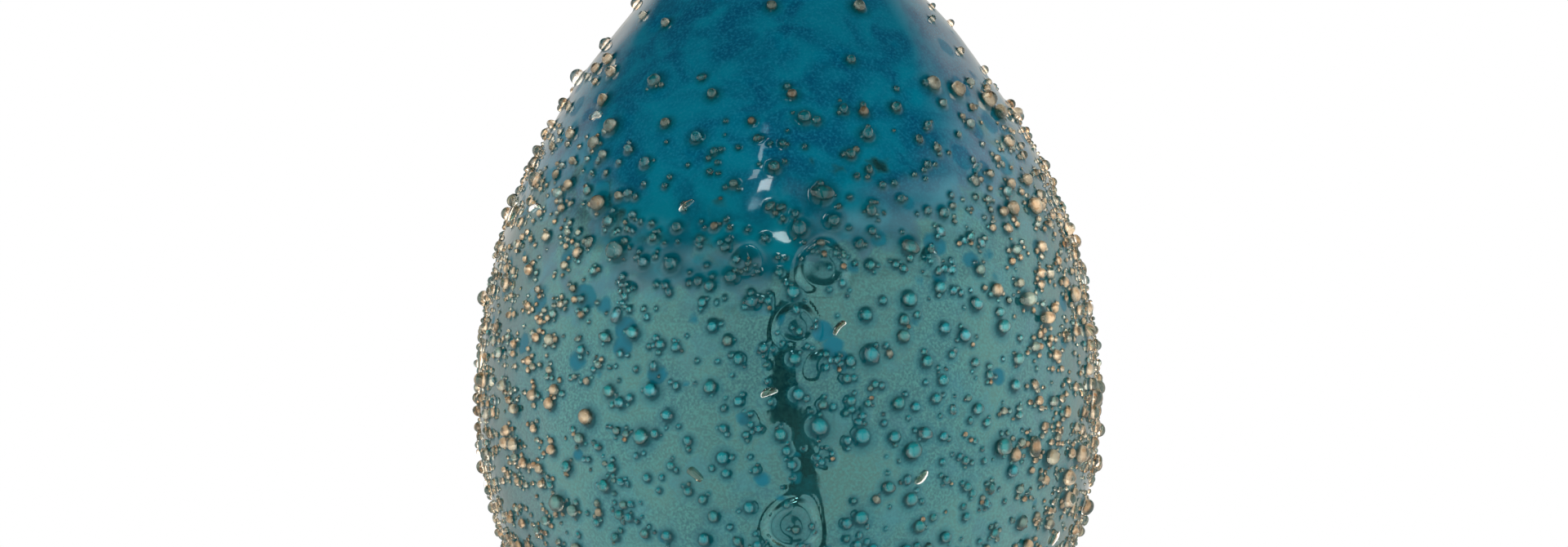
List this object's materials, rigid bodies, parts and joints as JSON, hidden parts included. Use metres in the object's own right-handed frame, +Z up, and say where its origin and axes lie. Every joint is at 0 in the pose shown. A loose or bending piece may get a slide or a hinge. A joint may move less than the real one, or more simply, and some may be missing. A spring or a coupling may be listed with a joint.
{
  "type": "bottle vase",
  "caption": "Teardrop bottle vase of teal glass with a narrow neck, a rolled lip and fused clear and amber glass beads all over its body.",
  "frame": {"origin": "on the table, under the middle of the foot ring", "axes": "+Z up along the vase's axis of revolution; -Y is the front"},
  "size_m": [0.2009, 0.2012, 0.296],
  "materials": {
    "clear_glass": "fire-polished gloss",
    "teal_glass": "fire-polished gloss",
    "amber_glass": "fire-polished gloss"
  },
  "bodies": {
    "root": {"clear_core": "clear_glass", "teal_overlay": "teal_glass", "melted_drops": "teal_glass", "glass_shards": "amber_glass", "base_small_beads": "amber_glass", "base_medium_beads": "amber_glass", "base_large_beads": "amber_glass", "lower_small_beads": "amber_glass", "lower_medium_beads": "amber_glass", "lower_large_beads": "amber_glass", "belly_small_beads": "amber_glass", "belly_medium_beads": "amber_glass", "belly_large_beads": "amber_glass", "upper_small_beads": "amber_glass", "upper_medium_beads": "amber_glass", "upper_large_beads": "amber_glass", "shoulder_small_beads": "amber_glass", "shoulder_medium_beads": "amber_glass", "shoulder_large_beads": "amber_glass", "collar_small_beads": "amber_glass", "collar_medium_beads": "amber_glass"}
  },
  "joints": []
}
